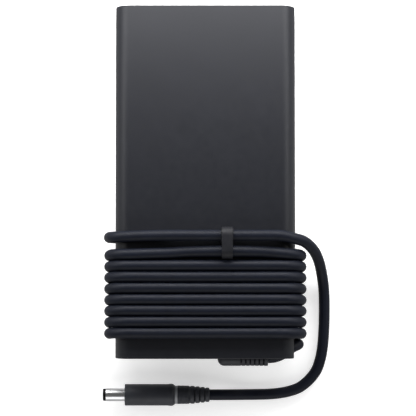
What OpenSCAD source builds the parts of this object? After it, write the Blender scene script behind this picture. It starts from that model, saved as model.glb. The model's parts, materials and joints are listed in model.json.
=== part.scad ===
// Slim laptop power adapter: a flat brick lying on its own output cord, which is wound round it.
// Z = 0 is the surface that it lies on. The brick leans by a few degrees, because one end rests
// on that surface and the other on the winding. lean() places what belongs to the brick.

/* [Brick] */
// Length of the brick, from the inlet end to the cord end
body_l = 200; // [196:1:204]
// Width of the brick
body_w = 102.4; // [100:0.2:104]
// Thickness of the brick
body_t = 25.4; // [25:0.1:26]
// How far each rounded side reaches in from the edge
side_w = 8.2; // [7:0.2:9]
// Wall thickness of the shells
wall = 2.2; // [1.8:0.1:2.4]
// Chamfer along the end edges
edge = 0.8; // [0.4:0.1:1]
// Thickness of the circuit board
board_t = 1.6; // [1.2:0.2:1.6]

/* [Cord] */
// Diameter of the output cord
cord_d = 6.3; // [6:0.1:6.4]
// Radius of the bend, at the middle of the cord, where it turns over a side of the brick
turn_r = 12.4; // [12:0.1:13]
// Diameter of the strain relief on the brick
relief_d = 9.2; // [8.6:0.1:9.4]

/* [Plug] */
// Outside diameter of the metal barrel
barrel_d = 7.4; // [7.4:0.1:7.4]
// Bore of the metal barrel
barrel_bore = 5; // [5:0.1:5]
// Length of the barrel outside the grip, with its insulating tip
barrel_l = 12.6; // [11:0.1:13]
// Diameter of the grip
grip_d = 12.4; // [12:0.1:12.6]
// Length of the grip
grip_l = 24.9; // [24:0.1:26]
// Diameter of the flange at the grip's end
flange_d = 12.8; // [12.7:0.1:13.2]

/* [Inlet] */
// Width of the inlet's recess
inlet_w = 24.6; // [24.4:0.1:24.8]
// Height of the inlet's recess
inlet_h = 16.4; // [16.2:0.1:16.6]
// Depth of the inlet's recess
inlet_depth = 17; // [16:0.5:18]

/* [Hidden] */
$fn = 48;
cord_r = cord_d / 2;

// The first turn lies this far from the brick's middle, and its underside rests on the surface.
first_y = -31.4;
lean_angle = asin(cord_d / (body_l / 2 - first_y));
rise = (body_l / 2 - edge) * sin(lean_angle) + body_t / 2 * cos(lean_angle) + 0.04;

// Inside of the shells, and the board that everything stands on
inner_z = body_t / 2 - wall;
inner_x = body_w / 2 - wall;
board_z = -6.9;
board_w = 88;
board_y0 = -86;
board_y1 = 76;
shield_t = 0.4;
sheet_t = 0.3;
layer_w = 82;
layer_y0 = -86;
layer_y1 = 76;

// The blank plate in the lower face
label_y = 22;
label_w = 82;
label_l = 92;
label_t = 0.2;

// The inlet's body, and how far its blades reach
inlet_body_w = 28.4;
inlet_body_l = 21.4;
inlet_body_h = 20.4;
blade_end = 97;
earth_end = 98;

// The turns of the winding: the cord's middle at the top face and at the sides
top_z = body_t / 2 + cord_r;
side_x = body_w / 2 + cord_r;
wind_y0 = -38.7;
wind_y1 = -89.3;
back_shift = 6.6;

// The recess for the strain relief, and the notch that the cord leaves through
relief_y = -99.7;
relief_z = 2.5;
relief_x0 = 6.9;
relief_x1 = 35.5;
stem_x = 11.5;
stem_d = 7;
stem_flange_d = 10;
stem_flange_y = -89.5;
notch_y = -88.9;
notch_z = 6;

// The tie on the first turn
tie_x = 12.3;
tie_w = 6.8;
tie_y = -30.5;
tie_z = 17.9;
tie_hook_y = -39.05;
tie_hook_z = 19.4;
tie_bore = 3.35;
tie_ring_r = 3.85;
tie_collar_r = 4.85;
tie_t = 1.1;
tie_lip_t = 0.3;

// The plug, which lies along X on the surface
plug_y = -122.5;
plug_z = flange_d / 2;
grip_x0 = -46.5;
grip_x1 = grip_x0 + grip_l;
flange_x1 = grip_x1 + 3.9;
ring_x1 = flange_x1 + 1.7;
boot_x1 = 2.4;
// The barrel's insulating tip, its seat inside the grip, and the pin in its middle
tip_l = 1.7;
seat_l = 12;
pin_d = 0.6;

// Route of the cord's short lead, in the brick's own frame, from the strain relief to the winding
lead_route = [
    [35.5, -99.7, 2.5], [39.5, -99.3, 2.5], [43.4, -97.8, 2.3], [46.8, -95.6, 1.3],
    [50, -93.6, -0.9], [52.6, -92.6, -4.4], [53.2, -92.3, -8.6], [51.4, -92.1, -12.6],
    [47.5, -92, -15.2], [42, -91.9, -15.85], [36, -91.6, -15.85],
];

// Route of the cord's first turn, in the brick's own frame, from the winding to the right side
turn_route = [
    [54.35, -41.85, 0], [54.35, -41.8, -3.4], [50.7, -41.5, -12.2], [41.8, -41, -15.85],
    [28, -39.3, -15.85], [14, -37.8, -15.85], [0, -36.5, -15.85], [-14, -35.1, -15.85],
    [-28, -33.7, -15.85], [-41.8, -32.1, -15.85], [-50.7, -31.5, -12.2], [-54.35, -31.4, -3.4],
    [-54.35, -31.4, 3.4], [-50.7, -31.3, 12.2], [-41.8, -31, 15.9], [-30, -30.6, 16.3],
    [-20, -30.5, 17.5], [-12, -30.5, 17.9], [-6, -30.5, 17.9], [6, -30.5, 17.9],
    [18, -30.5, 17.9], [30, -30.5, 17.9], [36, -30.5, 17.9], [43, -30.7, 17],
];

// Route of the free cord, on the surface, from the brick's right side to the plug
run_route = [
    [50.6, -31.6, 33.2], [55.3, -33.1, 30.2], [59.2, -35.9, 25.5], [62.7, -40.2, 19.3],
    [65.3, -45.9, 12.8], [67, -52.5, 7.8], [68.2, -59.6, 4.7], [68.7, -66.6, 3.4],
    [68.8, -73.7, 3.15], [68.7, -80.6, 3.15], [68.4, -87.7, 3.15], [67.8, -94.7, 3.15],
    [66.6, -101.7, 3.15], [64.3, -108.4, 3.15], [60.4, -113.7, 3.15], [54.9, -118.3, 3.15],
    [49.1, -120.6, 3.15], [43.3, -121.8, 3.15], [37.5, -122.4, 3.15], [31.7, -122.6, 3.15],
    [22, -122.7, 3.6], [15.5, -122.6, 5.1], [9, -122.5, 6.4], [2.4, -122.5, 6.4],
];

// ---- Functions ----

// A point of the brick's own frame, as it lies
function lean_point(p) = [
    p[0],
    p[1] * cos(lean_angle) + p[2] * sin(lean_angle),
    rise - p[1] * sin(lean_angle) + p[2] * cos(lean_angle),
];

function unit(v) = v / norm(v);

// A point of the smooth curve from b to c, with a and d as its neighbours
function between(a, b, c, d, t) =
    0.5 * (2 * b + (c - a) * t + (2 * a - 5 * b + 4 * c - d) * t * t
        + (3 * b - a - 3 * c + d) * t * t * t);

// A route with n - 1 more points in each of its spans
function smooth(p, n) = [
    for (i = [0 : len(p) - 2], k = [0 : n - 1])
        between(p[max(i - 1, 0)], p[i], p[i + 1], p[min(i + 2, len(p) - 1)], k / n),
    p[len(p) - 1],
];

function heading(p, i) = unit(p[min(i + 1, len(p) - 1)] - p[max(i - 1, 0)]);

// One direction across the route at each point, carried along without twist
function across(p, n, i = 0) =
    i == len(p) ? [] :
    let (t = heading(p, i), m = unit(n - (n * t) * t))
    concat([m], across(p, m, i + 1));

// The brick's outline across its length: flat faces, and sides that are half ellipses
function outline(w, t, s) = [
    for (a = [-90 : 9 : 90]) [w / 2 - s + s * cos(a), t / 2 * sin(a)],
    for (a = [90 : 9 : 270]) [-w / 2 + s + s * cos(a), t / 2 * sin(a)],
];

// ---- Shared shapes ----

module lean() {
    translate([0, 0, rise]) rotate([-lean_angle, 0, 0]) children();
}

module tube(path, r, sides, start = [0, 1, 0]) {
    normals = across(path, start);
    points = [
        for (i = [0 : len(path) - 1], k = [0 : sides - 1])
            let (a = 360 * (k + 0.5) / sides, b = cross(heading(path, i), normals[i]))
            path[i] + r * (cos(a) * normals[i] + sin(a) * b)
    ];
    last = (len(path) - 1) * sides;
    faces = [
        [for (k = [0 : sides - 1]) k],
        for (i = [0 : len(path) - 2], k = [0 : sides - 1])
            let (j = (k + 1) % sides, a = i * sides, b = a + sides)
            [a + j, a + k, b + k, b + j],
        [for (k = [sides - 1 : -1 : 0]) last + k],
    ];
    polyhedron(points, faces);
}

module block(middle, size) {
    translate(middle) cube(size, center = true);
}

// A cylinder that stands on the board
module standing(x, y, d, h) {
    translate([x, y, board_z]) cylinder(d = d, h = h);
}

// A cylinder along Y from y0 to y1
module along_y(x, z, d, y0, y1) {
    translate([x, y0, z]) rotate([-90, 0, 0]) cylinder(d = d, h = y1 - y0);
}

// A cylinder along X from x0 to x1
module along_x(y, z, d, x0, x1) {
    translate([x0, y, z]) rotate([0, 90, 0]) cylinder(d = d, h = x1 - x0);
}

// A cylinder along the plug's axis from x0 to x1
module on_plug(d, x0, x1, bore = 0) {
    difference() {
        along_x(plug_y, plug_z, d, x0, x1);
        if (bore > 0) along_x(plug_y, plug_z, bore, x0 - 1, x1 + 1);
    }
}

module cone_on_plug(d0, d1, x0, x1) {
    translate([x0, plug_y, plug_z]) rotate([0, 90, 0]) cylinder(d1 = d0, d2 = d1, h = x1 - x0);
}

// A ring core that lies on the board
module ring_core(x, y, od, id, h) {
    translate([x, y, board_z + 1]) difference() {
        cylinder(d = od, h = h);
        translate([0, 0, -1]) cylinder(d = id, h = h + 2);
    }
}

// The wire round a ring core: a shell that leaves the core's place free
module ring_winding(x, y, od, id, h, t) {
    translate([x, y, board_z + 1]) difference() {
        translate([0, 0, -t]) cylinder(d = od + 2 * t, h = h + 2 * t);
        cylinder(d = od, h = h);
        translate([0, 0, -t - 1]) cylinder(d = id - 2 * t, h = h + 2 * t + 2);
    }
    translate([x, y, board_z + 1]) difference() {
        cylinder(d = id, h = h);
        translate([0, 0, -1]) cylinder(d = id - 2 * t, h = h + 2);
    }
}

// A transistor that stands against a heatsink, with its three legs
module transistor(x, y) {
    block([x, y, board_z + 9], [4.4, 10, 10]);
    for (dy = [-2.5, 0, 2.5]) block([x, y + dy, board_z + 2], [0.6, 0.9, 4]);
}

// ---- Shells ----

// The whole outside of the brick
module outside() {
    side = [
        [-body_l / 2, -body_t / 2 + edge], [-body_l / 2 + edge, -body_t / 2],
        [body_l / 2 - edge, -body_t / 2], [body_l / 2, -body_t / 2 + edge],
        [body_l / 2, body_t / 2 - edge], [body_l / 2 - edge, body_t / 2],
        [-body_l / 2 + edge, body_t / 2], [-body_l / 2, body_t / 2 - edge],
    ];
    intersection() {
        rotate([90, 0, 0]) linear_extrude(body_l, center = true)
            polygon(outline(body_w, body_t, side_w));
        rotate([90, 0, 90]) linear_extrude(body_w + 2, center = true) polygon(side);
    }
}

// The room inside the shells, with walls kept round the recess and the notch
module room() {
    difference() {
        rotate([90, 0, 0]) linear_extrude(body_l - 2 * wall, center = true)
            polygon(outline(2 * inner_x, 2 * inner_z, side_w - wall / 2));
        along_x(relief_y, relief_z, relief_d + 5, relief_x0 - 3, relief_x1 + 3);
        translate([relief_x1 - 4, -body_l / 2, -body_t / 2])
            cube([30, body_l / 2 + notch_y + wall, notch_z + wall + body_t / 2]);
    }
}

// Everything that is cut through the shells
module cut_outs() {
    along_x(relief_y, relief_z, relief_d + 0.3, relief_x0 - 0.5, relief_x1 + 1);
    along_y(stem_x, relief_z, stem_d + 0.4, relief_y, board_y0 + 1);
    translate([relief_x1 - 0.3, -body_l / 2 - 1, -body_t / 2 - 1])
        cube([30, body_l / 2 + 1 + notch_y, notch_z + body_t / 2 + 1]);
    block([0, body_l / 2, 0], [inlet_body_w + 0.2, 50, inlet_body_h + 0.2]);
    block([0, label_y, -body_t / 2], [label_w, label_l, 2 * label_t]);
}

module shell_half(direction) {
    lean() difference() {
        outside();
        room();
        cut_outs();
        translate([0, 0, -direction * 20]) cube([body_w + 10, body_l + 10, 40], center = true);
    }
}

module upper_shell() {
    color("#3a3b3f") shell_half(1);
}

module lower_shell() {
    color("#333438") shell_half(-1);
}

// A blank plate where a rating label goes, flush in the lower face
module rating_plate() {
    color("#2b2c30") lean()
        block([0, label_y, (label_t - body_t) / 2], [label_w, label_l, label_t]);
}

// ---- Inlet ----

// The recess, with the two upper corners cut off
module inlet_recess() {
    corner = 5;
    translate([0, body_l / 2 + 1, 0]) rotate([90, 0, 0]) linear_extrude(inlet_depth + 1)
        polygon([
            [-inlet_w / 2, -inlet_h / 2], [inlet_w / 2, -inlet_h / 2],
            [inlet_w / 2, inlet_h / 2 - corner], [inlet_w / 2 - corner, inlet_h / 2],
            [-inlet_w / 2 + corner, inlet_h / 2], [-inlet_w / 2, inlet_h / 2 - corner],
        ]);
}

module inlet_blade(x, z, reach) {
    y0 = board_y1 + 1;
    block([x, (y0 + reach) / 2, z], [2, reach - y0, 4]);
}

module inlet_housing() {
    color("#1c1d20") lean() difference() {
        block([0, (body_l - inlet_body_l) / 2, 0], [inlet_body_w, inlet_body_l, inlet_body_h]);
        inlet_recess();
        for (x = [-7, 7]) inlet_blade(x, -2, blade_end);
        inlet_blade(0, 2, earth_end);
    }
}

module inlet_pin_line() {
    color("#c9cacc") lean() inlet_blade(-7, -2, blade_end);
}

module inlet_pin_neutral() {
    color("#c9cacc") lean() inlet_blade(7, -2, blade_end);
}

module inlet_pin_earth() {
    color("#c9cacc") lean() inlet_blade(0, 2, earth_end);
}

// Three insulated wires from the blades' tails to the board
module inlet_leads() {
    for (lead = [[-7, -2, "#7a4a2a"], [7, -2, "#2f5f9a"], [0, 2, "#6d9a3a"]])
        color(lead[2]) lean()
            tube(smooth([
                [lead[0], board_y1 + 0.8, lead[1]], [lead[0], 74.5, lead[1]],
                [lead[0] * 1.1, 72, lead[1] - 1], [lead[0] * 1.1, 71.5, board_z + 2],
                [lead[0] * 1.1, 71.5, board_z + 0.2],
            ], 2), 0.9, 8, [1, 0, 0]);
}

// ---- Electronics ----

module main_board() {
    color("#2f6b3a") lean() translate([-board_w / 2, board_y0, board_z - board_t])
        cube([board_w, board_y1 - board_y0, board_t]);
}

// A ceramic fuse between two end caps
module input_fuse() {
    color("#e6e2d6") lean() {
        along_x(60, board_z + 3.2, 5, -39, -23);
        for (x = [-41, -24.5]) along_x(60, board_z + 3.2, 5.6, x, x + 5);
    }
}

module surge_varistor() {
    color("#2e63a8") lean() along_y(-10, board_z + 8.2, 14, 60, 64.5);
}

module inrush_thermistor() {
    color("#2d3a35") lean() along_y(-10, board_z + 7.4, 13, 52, 56);
}

module x_capacitor() {
    color("#d8b53a") lean() block([26, 60, board_z + 7.5], [26, 12, 15]);
}

module y_capacitors() {
    color("#3f7fc4") lean() for (x = [18, 29]) along_y(x, board_z + 5, 9, 46, 50);
}

module line_choke_core() {
    color("#3f6b4a") lean() ring_core(-27, 40, 21, 12, 11);
}

module line_choke_winding() {
    color("#b5642c") lean() ring_winding(-27, 40, 21, 12, 11, 1);
}

module filter_choke_core() {
    color("#3f6b4a") lean() ring_core(0, 37, 19, 11, 10);
}

module filter_choke_winding() {
    color("#b5642c") lean() ring_winding(0, 37, 19, 11, 10, 1);
}

module bridge_rectifier() {
    color("#202124") lean() block([27, 36, board_z + 4], [22, 5, 8]);
}

module boost_choke_core() {
    color("#4a4c50") lean() difference() {
        block([-26, 8, board_z + 7.5], [34, 28, 15]);
        block([-26, 8, board_z + 7.5], [24, 30, 11]);
    }
}

module boost_choke_winding() {
    color("#c98a2e") lean() block([-26, 8, board_z + 7.5], [24, 26, 11]);
}

module primary_heatsink() {
    color("#a9abaf") lean() {
        block([1, -5, board_z + 7.5], [2.5, 60, 15]);
        block([-2, -5, board_z + 14.2], [3.5, 60, 1.6]);
    }
}

module boost_transistor() {
    color("#1e1f22") lean() transistor(4.5, 14);
}

module boost_diode() {
    color("#1e1f22") lean() transistor(4.5, 1);
}

module bulk_capacitor(x) {
    color("#27303f") lean() {
        along_y(x, board_z + 8, 15.6, -24, 24);
        along_y(x, board_z + 8, 14.8, 24, 25.5);
    }
}

module bulk_capacitor_left() {
    bulk_capacitor(18);
}

module bulk_capacitor_right() {
    bulk_capacitor(35);
}

module transformer_core() {
    color("#4a4c50") lean() difference() {
        block([-24, -32, board_z + 7.6], [38, 36, 15.2]);
        block([-24, -32, board_z + 7.6], [28, 40, 11]);
    }
}

module transformer_bobbin() {
    color("#e8e0c0") lean() for (dy = [-16, 16])
        block([-24, -32 + dy, board_z + 7.6], [27, 2, 10.8]);
}

module transformer_winding() {
    color("#d9a52e") lean() block([-24, -32, board_z + 7.6], [26, 30, 10]);
}

module resonant_capacitor() {
    color("#b8342c") lean() block([-24, -56, board_z + 6], [18, 7, 12]);
}

module switch_transistors() {
    color("#1e1f22") lean() for (y = [-12, -26]) transistor(4.5, y);
}

module secondary_heatsink() {
    color("#a9abaf") lean() {
        block([19, -42, board_z + 7.5], [44, 2.5, 15]);
        block([19, -39.5, board_z + 14.2], [44, 2.5, 1.6]);
    }
}

// Flat packages that stand against the output heatsink
module output_rectifiers() {
    color("#1e1f22") lean() for (x = [5, 19, 33]) {
        block([x, -45.5, board_z + 9], [10, 4.4, 10]);
        for (dx = [-2.5, 0, 2.5]) block([x + dx, -45.5, board_z + 2], [0.9, 0.6, 4]);
    }
}

module output_capacitors() {
    color("#31353d") lean() for (x = [-2, 10, 22, 34]) {
        standing(x, -58, 10, 14.5);
        standing(x, -58, 9, 15);
    }
}

module output_choke() {
    color("#b5642c") lean() {
        standing(-26, -72, 16, 12);
        standing(-26, -72, 12, 13);
    }
}

module optocoupler() {
    color("#dfe0e2") lean() block([-2, -72, board_z + 1.9], [7, 4.8, 3.8]);
}

// Two flat controllers with their legs
module control_chips() {
    color("#202124") lean() for (place = [[12, -72], [26, -72]]) {
        block([place[0], place[1], board_z + 1.1], [10, 4, 1.8]);
        for (dx = [-3.8 : 1.27 : 3.9], side = [-1, 1])
            block([place[0] + dx, place[1] + side * 2.5, board_z + 0.3], [0.5, 1.4, 0.6]);
    }
}

// The soft pad that takes the transformer's heat to the upper shield
module thermal_pad() {
    color("#c9d2dc") lean() block([-24, -32, board_z + 15.95], [34, 30, 1.5]);
}

// A thin layer across the inside of the brick
module layer(z, t) {
    lean() translate([-layer_w / 2, layer_y0, z]) cube([layer_w, layer_y1 - layer_y0, t]);
}

module upper_insulator() {
    color("#e9e6da") layer(inner_z - shield_t - sheet_t, sheet_t);
}

module upper_shield() {
    color("#b9bbbe") layer(inner_z - shield_t, shield_t);
}

module lower_insulator() {
    color("#e9e6da") layer(-inner_z + shield_t, sheet_t);
}

module lower_shield() {
    color("#b9bbbe") layer(-inner_z, shield_t);
}

// Output wires from the board to the strain relief's stem
module output_leads() {
    for (k = [-1, 0, 1])
        color(["#c23a30", "#dfe0e2", "#202124"][k + 1]) lean()
            tube(smooth([
                [stem_x + 4 * k - 4, -82, board_z + 0.4], [stem_x + 4 * k - 4, -82.2, board_z + 2],
                [stem_x + 2.4 * k - 1, -84, 0.5], [stem_x + 2 * k, -86, relief_z - 0.2],
                [stem_x + 2 * k, -87.7, relief_z],
            ], 2), 0.8, 8, [1, 0, 0]);
}

// ---- Cord and strain relief ----

module cord_strain_relief() {
    ring_pitch = 2.55;
    round_r = 3.6;
    color("#1f2126") lean() {
        difference() {
            union() {
                along_x(relief_y, relief_z, relief_d, relief_x0 + round_r, relief_x1);
                along_x(relief_y, relief_z, relief_d - 2, relief_x0 + 1, relief_x0 + round_r);
                along_x(relief_y, relief_z, relief_d - 4, relief_x0, relief_x0 + 1);
            }
            for (k = [0 : 5])
                translate([relief_x1 - 2.4 - k * ring_pitch, relief_y, relief_z])
                    rotate([0, 90, 0]) difference() {
                        cylinder(d = relief_d + 2, h = 0.9);
                        translate([0, 0, -1]) cylinder(d = relief_d - 1.6, h = 3);
                    }
        }
        along_y(stem_x, relief_z, stem_d, relief_y, stem_flange_y);
        along_y(stem_x, relief_z, stem_flange_d, stem_flange_y, stem_flange_y + 1.5);
    }
}

module cord_lead() {
    path = [for (p = smooth(lead_route, 2)) lean_point(p)];
    color("#20232a") tube(path, cord_r, 10, [0, 0, 1]);
}

// A rounded frame across the brick, from which the winding's outer shape is cut
module turn_frame(grow, length) {
    w = 2 * (side_x + grow);
    h = 2 * (top_z + grow);
    r = turn_r + grow;
    rotate([90, 0, 0]) linear_extrude(length) union() {
        square([w, h - 2 * r], center = true);
        square([w - 2 * r, h], center = true);
        for (x = [-1, 1], z = [-1, 1]) translate([x * (w / 2 - r), z * (h / 2 - r)]) circle(r);
    }
}

// The outer shape of the closed turns: straight across the top, slanted across the underside
module cord_winding() {
    reach = side_x + cord_r;
    top = [
        [-reach - 1, wind_y1], [reach + 1, wind_y1], [reach + 1, wind_y0],
        [tie_x + 34, wind_y0 + 1.3], [tie_x + 18, wind_y0 + 2.5], [tie_x - 12, wind_y0 + 2.5],
        [tie_x - 36, wind_y0 + 1.3], [-reach - 1, wind_y0],
    ];
    underside = [
        [-reach - 1, wind_y1], [relief_x1 + 0.5, wind_y1 - back_shift + 0.8],
        [relief_x1 + 0.5, wind_y1 + 0.9], [reach + 1, wind_y1],
        [reach + 1, wind_y0 - back_shift], [-reach - 1, wind_y0],
    ];
    color("#1d2026") lean() difference() {
        intersection() {
            turn_frame(cord_r, 130);
            union() {
                linear_extrude(40) polygon(top);
                translate([0, 0, -40]) linear_extrude(40) polygon(underside);
            }
        }
        rotate([90, 0, 0]) linear_extrude(150) polygon(outline(body_w, body_t, side_w));
    }
}

// The first turn, over the tie's place, then down to the surface and round to the plug
module cord_run() {
    path = concat(
        [for (p = smooth(turn_route, 2)) lean_point(p)],
        smooth(run_route, 1)
    );
    color("#20232a") tube(path, cord_r, 10, [1, 0, 0]);
}

// ---- Tie ----

// The inner ring, which slides along the cord, with a lip at each end
module tie_ring() {
    color("#34363b") lean() difference() {
        union() {
            along_x(tie_y, tie_z, 2 * tie_ring_r, tie_x - tie_w / 2, tie_x + tie_w / 2);
            for (x = [tie_x - tie_w / 2, tie_x + tie_w / 2 - tie_lip_t])
                along_x(tie_y, tie_z, 2 * tie_ring_r + 1, x, x + tie_lip_t);
        }
        along_x(tie_y, tie_z, 2 * tie_bore, tie_x - 10, tie_x + 10);
    }
}

// The strap: a collar that turns on the ring, a flat band, and a hook over the next strand
module tie_strap() {
    gap = 0.05;
    inner_r = tie_collar_r - tie_t;
    x0 = tie_x - tie_w / 2 + tie_lip_t + gap;
    x1 = tie_x + tie_w / 2 - tie_lip_t - gap;
    color("#3c3e43") lean() {
        difference() {
            union() {
                along_x(tie_y, tie_z, 2 * tie_collar_r, x0, x1);
                translate([x0, tie_hook_y, tie_z + inner_r]) cube([x1 - x0, tie_y - tie_hook_y, tie_t]);
            }
            along_x(tie_y, tie_z, 2 * (tie_ring_r + gap), tie_x - 10, tie_x + 10);
        }
        difference() {
            along_x(tie_hook_y, tie_z, 2 * tie_collar_r, x0, x1);
            along_x(tie_hook_y, tie_z, 2 * inner_r, x0 - 1, x1 + 1);
            translate([x0 - 1, tie_hook_y, 0]) cube([10, 20, 40]);
            translate([x0 - 1, tie_hook_y - 10, 0]) cube([10, 20, tie_hook_z]);
        }
    }
}

// ---- Plug ----

module plug_grip() {
    color("#26282d") difference() {
        union() {
            cone_on_plug(grip_d - 1.2, grip_d, grip_x0, grip_x0 + 1);
            on_plug(grip_d, grip_x0 + 1, grip_x1);
            cone_on_plug(grip_d, flange_d, grip_x1, grip_x1 + 0.5);
            on_plug(flange_d, grip_x1 + 0.5, flange_x1);
        }
        on_plug(barrel_d - 0.4, grip_x0 - 1, grip_x0 + seat_l);
        on_plug(8.6, grip_x0 + seat_l, grip_x1 - 6);
        on_plug(7, grip_x1 - 7, flange_x1 + 1);
    }
}

module plug_light_ring() {
    color("#d5d8dc") on_plug(10.9, flange_x1, ring_x1, 7);
}

// The boot: a ribbed sleeve that steps down to the cord
module plug_boot() {
    ribs = [[-7.5, 10.4], [-4.6, 9.7], [-1.7, 9.1]];
    color("#26282d") difference() {
        union() {
            on_plug(10.8, ring_x1, -9);
            on_plug(7.2, -9, boot_x1);
            for (rib = ribs) on_plug(rib[1], rib[0] - 1.2, rib[0] + 1.2);
            on_plug(8.3, -0.1, boot_x1);
        }
        on_plug(4.2, ring_x1 - 1, boot_x1 - 1.5);
    }
}

// The cord's conductors inside the boot and the grip
module plug_leads() {
    color("#b06a34") on_plug(3.6, grip_x0 + seat_l + 2, boot_x1 - 1.5);
}

// The small board behind the light ring, with its light
module light_board() {
    color("#2f6b3a") difference() {
        on_plug(6.9, grip_x1 - 1, grip_x1 + 0.2);
        on_plug(3.8, grip_x1 - 2, grip_x1 + 1);
    }
    color("#f2f4e8") for (a = [0 : 90 : 270])
        translate([grip_x1 + 0.6, plug_y, plug_z]) rotate([a, 0, 0])
            translate([0, 0, 2.6]) cube([0.8, 0.9, 0.7], center = true);
}

// The metal barrel, narrower where the grip holds it
module barrel_sleeve() {
    color("#c7c9cc") difference() {
        union() {
            on_plug(barrel_d, grip_x0 - barrel_l + tip_l, grip_x0);
            on_plug(barrel_d - 0.4, grip_x0, grip_x0 + seat_l);
        }
        on_plug(barrel_bore + 1, grip_x0 - barrel_l - 1, grip_x0 + seat_l + 1);
    }
}

// The dark ring that ends the barrel
module barrel_tip() {
    x0 = grip_x0 - barrel_l;
    color("#17181a") difference() {
        union() {
            cone_on_plug(barrel_d - 1, barrel_d - 0.4, x0, x0 + 0.4);
            on_plug(barrel_d - 0.4, x0 + 0.4, x0 + tip_l);
        }
        on_plug(barrel_bore, x0 - 1, x0 + 2);
    }
}

module barrel_insulator() {
    color("#17181a") on_plug(barrel_bore + 1, grip_x0 - barrel_l + tip_l, grip_x0 + seat_l,
        barrel_bore + 0.5);
}

module contact_sleeve() {
    color("#b8a070") on_plug(barrel_bore + 0.5, grip_x0 - barrel_l + tip_l, grip_x0 + seat_l,
        barrel_bore);
}

// The insulator that carries the contacts at the back of the barrel
module contact_carrier() {
    color("#17181a") {
        on_plug(barrel_bore, grip_x0, grip_x0 + seat_l, pin_d);
        on_plug(8.6, grip_x0 + seat_l, grip_x0 + seat_l + 2, pin_d);
    }
}

module centre_pin() {
    color("#c7c9cc") on_plug(pin_d, grip_x0 - barrel_l + 3, grip_x0 + seat_l + 2);
}

upper_shell();
lower_shell();
rating_plate();
inlet_housing();
inlet_pin_line();
inlet_pin_neutral();
inlet_pin_earth();
inlet_leads();
main_board();
input_fuse();
surge_varistor();
inrush_thermistor();
x_capacitor();
y_capacitors();
line_choke_core();
line_choke_winding();
filter_choke_core();
filter_choke_winding();
bridge_rectifier();
boost_choke_core();
boost_choke_winding();
primary_heatsink();
boost_transistor();
boost_diode();
bulk_capacitor_left();
bulk_capacitor_right();
transformer_core();
transformer_bobbin();
transformer_winding();
resonant_capacitor();
switch_transistors();
secondary_heatsink();
output_rectifiers();
output_capacitors();
output_choke();
optocoupler();
control_chips();
thermal_pad();
upper_insulator();
upper_shield();
lower_insulator();
lower_shield();
output_leads();
cord_strain_relief();
cord_lead();
cord_winding();
cord_run();
tie_ring();
tie_strap();
plug_grip();
plug_light_ring();
plug_boot();
plug_leads();
light_board();
barrel_sleeve();
barrel_tip();
barrel_insulator();
contact_sleeve();
contact_carrier();
centre_pin();
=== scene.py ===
"""Looks of the slim laptop power adapter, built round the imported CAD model.

Everything is in metres, in the CAD model's frame. The brick leans a little, because it lies on its own
wound cord, so what belongs to it is first placed in the brick's own frame: x across, y along towards the
inlet end, z out of the broad face, in millimetres from the brick's middle.
"""

import json
import math

import bmesh
import bpy
from mathutils import Matrix, Vector


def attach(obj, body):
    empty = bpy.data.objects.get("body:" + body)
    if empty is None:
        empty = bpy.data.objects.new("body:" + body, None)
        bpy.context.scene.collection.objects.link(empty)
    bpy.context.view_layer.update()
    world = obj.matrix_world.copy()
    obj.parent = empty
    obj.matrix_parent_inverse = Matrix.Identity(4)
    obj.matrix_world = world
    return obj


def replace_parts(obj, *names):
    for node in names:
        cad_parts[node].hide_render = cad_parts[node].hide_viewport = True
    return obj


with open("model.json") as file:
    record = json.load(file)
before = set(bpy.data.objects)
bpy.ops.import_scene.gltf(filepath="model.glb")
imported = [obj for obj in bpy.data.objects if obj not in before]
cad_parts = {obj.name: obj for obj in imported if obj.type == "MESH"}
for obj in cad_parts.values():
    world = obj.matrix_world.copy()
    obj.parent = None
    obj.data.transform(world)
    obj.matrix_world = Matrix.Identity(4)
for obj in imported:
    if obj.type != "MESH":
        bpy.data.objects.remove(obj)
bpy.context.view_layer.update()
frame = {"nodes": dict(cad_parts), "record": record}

MM = 0.001

# ---- Sizes, in millimetres ----

# Brick
BODY_L = 200.0
BODY_W = 102.4
BODY_T = 25.4
SIDE_W = 8.2
WALL = 2.2
END_FILLET = 0.55
SEAM = 0.12

# Cord: TURN_R is the radius of a turn's corners, and FACE_SHIFT is how far towards the inlet end a turn
# lies on the face, from where it lies at the brick's sides
CORD_D = 6.3
CORD_R = CORD_D / 2
TURN_R = 12.4
TOP_Z = BODY_T / 2 + CORD_R
SIDE_X = BODY_W / 2 + CORD_R
CLOSED_TURNS = 8
FIRST_TURN_Y = -86.0
LAST_TURN_Y = -41.85
FACE_SHIFT = 0.75

# Strain relief, its stem, which goes into the brick, and the notch that lets the cord past the corner
RELIEF_Y = -99.7
RELIEF_Z = 2.5
RELIEF_X0 = 6.9
RELIEF_X1 = 35.5
RELIEF_D = 9.2
RELIEF_ROUND = 3.9
RELIEF_NOSE_R = 0.6
RELIEF_SLOTS = 6
RELIEF_SLOT_X = 20.3
RELIEF_SLOT_PITCH = 2.55
RECESS_GAP = 0.15
STEM_X = 11.5
STEM_R = 3.5
STEM_HOLE_R = 3.7
STEM_HOLE_Y = -85
STEM_FLANGE_R = 5
STEM_FLANGE_Y0 = -89.5
STEM_FLANGE_Y1 = -88
NOTCH_Y = -88.9
NOTCH_Z = 6.0

# Tie
TIE_X = 12.3
TIE_W = 6.8
TIE_Y = -30.5
TIE_Z = 17.9
TIE_HOOK_Y = -39.05
TIE_HOOK_Z = 19.4
TIE_BORE_R = 3.35
TIE_RING_R = 3.85
TIE_LIP_R = 4.35
TIE_LIP_T = 0.3
TIE_COLLAR_R = 4.85
TIE_T = 1.1

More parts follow.
